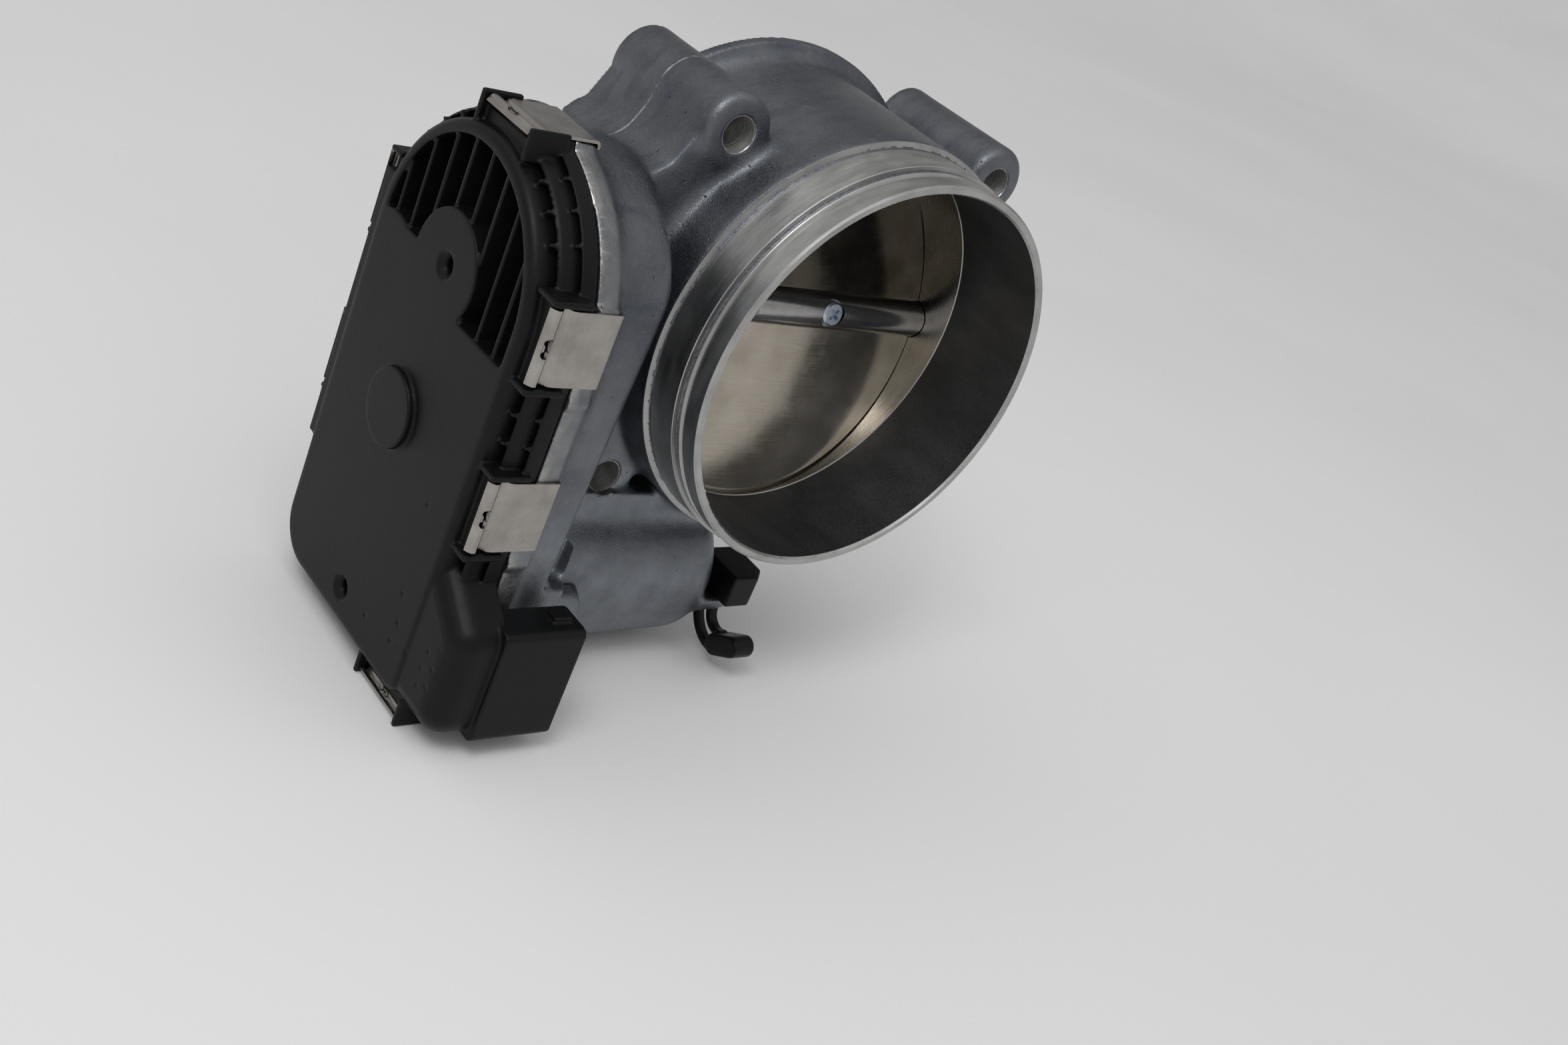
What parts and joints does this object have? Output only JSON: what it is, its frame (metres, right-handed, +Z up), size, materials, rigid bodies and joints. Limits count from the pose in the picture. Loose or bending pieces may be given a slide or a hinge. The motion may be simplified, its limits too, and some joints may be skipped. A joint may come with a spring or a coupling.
{
  "type": "throttle body",
  "caption": "Electronic throttle body: cast air tube with a butterfly plate on a geared cross shaft, a clipped plastic gear cover and a motor beneath.",
  "frame": {"origin": "centre of the four bolt holes, on the engine flange face", "axes": "+Y out of the flange face into the engine along the air bore, +X along the throttle shaft away from the gear cover, +Z up, away from the motor"},
  "size_m": [0.1385, 0.0716, 0.1296],
  "materials": {
    "cast_aluminium": "die-cast, slightly mottled blue-grey",
    "cover_plastic": "matte black glass-filled plastic",
    "seal_rubber": "soft black rubber",
    "clip_steel": "bright spring steel",
    "pin_brass": "tin-plated brass",
    "board_green": "solder-masked board",
    "chip_black": "moulded chip package",
    "shaft_steel": "ground and polished steel",
    "plate_metal": "polished plate with a warm tint",
    "zinc_screw": "zinc plated, bluish",
    "gear_plastic": "natural glass-filled nylon",
    "magnet_grey": "sintered ferrite",
    "bearing_steel": "polished bearing steel",
    "seal_brown": "brown fluoro rubber",
    "spring_wire": "drawn spring wire",
    "black_plastic": "matte black plastic",
    "can_steel": "zinc plated sheet steel",
    "copper": "copper",
    "carbon": "carbon",
    "bronze": "sintered bronze"
  },
  "bodies": {
    "housing": {"throttle_housing": "cast_aluminium", "gear_cover": "cover_plastic", "cover_seal": "seal_rubber", "cover_clips": "clip_steel", "connector_pins": "pin_brass", "sensor_board": "board_green", "sensor_chip": "chip_black", "motor_contacts": "pin_brass", "needle_bearing_cup": "bearing_steel", "needle_rollers": "bearing_steel", "ball_bearing_outer_ring": "bearing_steel", "bearing_balls": "bearing_steel", "shaft_seals": "seal_brown", "shaft_end_cap": "can_steel", "return_spring": "spring_wire", "spring_bush": "black_plastic", "closed_stop_screw": "zinc_screw", "intermediate_axle": "bearing_steel", "motor_can": "can_steel", "motor_end_cap": "black_plastic", "motor_terminals": "pin_brass", "motor_magnets": "magnet_grey", "motor_brushes": "carbon", "brush_springs": "copper", "motor_bushes": "bronze", "motor_screws": "zinc_screw", "motor_wave_washer": "spring_wire", "strap_holder": "black_plastic", "cable_strap": "black_plastic"},
    "throttle": {"throttle_shaft": "shaft_steel", "throttle_plate": "plate_metal", "plate_screws": "zinc_screw", "sector_gear": "gear_plastic", "sector_insert": "bearing_steel", "sensor_magnet": "magnet_grey", "shaft_circlip": "spring_wire", "ball_bearing_inner_ring": "bearing_steel"},
    "intermediate": {"intermediate_gear": "gear_plastic"},
    "rotor": {"motor_pinion": "bronze", "motor_shaft": "shaft_steel", "armature_core": "magnet_grey", "armature_windings": "copper", "commutator": "copper"}
  },
  "joints": [
    {"name": "throttle_turn", "type": "hinge", "parent": "housing", "child": "throttle", "pos_m": [0, -0.023, 0], "axis": [-1, 0, 0], "range_deg": [-5.5, 76.5], "stiffness_Nm_per_rad": 0.3, "deforming": ["return_spring"]},
    {"name": "intermediate_turn", "type": "hinge", "parent": "housing", "child": "intermediate", "pos_m": [0, -0.023, -0.0335], "axis": [-1, 0, 0], "range_deg": [-230, 20]},
    {"name": "rotor_turn", "type": "hinge", "parent": "housing", "child": "rotor", "pos_m": [0, -0.023, -0.06125], "axis": [-1, 0, 0], "range_deg": [-75, 970]}
  ],
  "couplings": [
    {"joint": "intermediate_turn", "follows": "throttle_turn", "ratio": -2.9412},
    {"joint": "rotor_turn", "follows": "throttle_turn", "ratio": 12.605}
  ]
}
